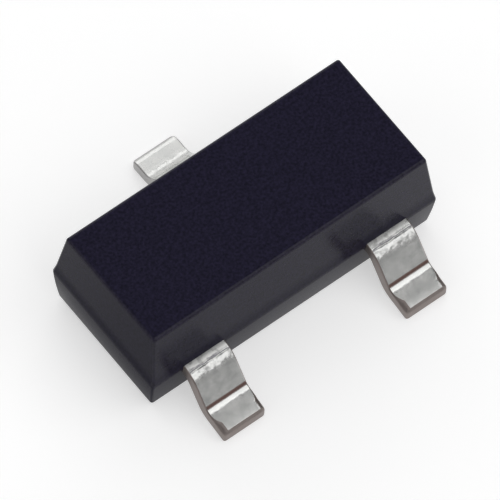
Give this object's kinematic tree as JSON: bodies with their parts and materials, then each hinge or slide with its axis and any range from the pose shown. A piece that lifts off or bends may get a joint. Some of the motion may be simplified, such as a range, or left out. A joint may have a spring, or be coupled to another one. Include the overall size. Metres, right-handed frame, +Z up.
{
  "type": "sot-23 transistor",
  "caption": "Small moulded surface-mount transistor with drafted dark body and tinned gull-wing leads, chip and bond wires inside.",
  "frame": {"origin": "on the seating plane, under the middle of the body and of the three feet", "axes": "+Z up from the seating plane, +X along the body, +Y towards the single collector lead"},
  "size_m": [0.003, 0.0026, 0.0011],
  "materials": {
    "mould_compound": "fine-grained dark moulding compound, satin",
    "tinned_lead": "matt tin plating on a copper alloy lead frame",
    "die_attach_epoxy": "silver-filled epoxy",
    "silicon": "polished silicon",
    "gold_wire": "bare gold wire"
  },
  "bodies": {
    "root": {"mould_body": "mould_compound", "lead_collector": "tinned_lead", "lead_base": "tinned_lead", "lead_emitter": "tinned_lead", "die_attach": "die_attach_epoxy", "die": "silicon", "bond_wire_base": "gold_wire", "bond_wire_emitter": "gold_wire"}
  },
  "joints": []
}
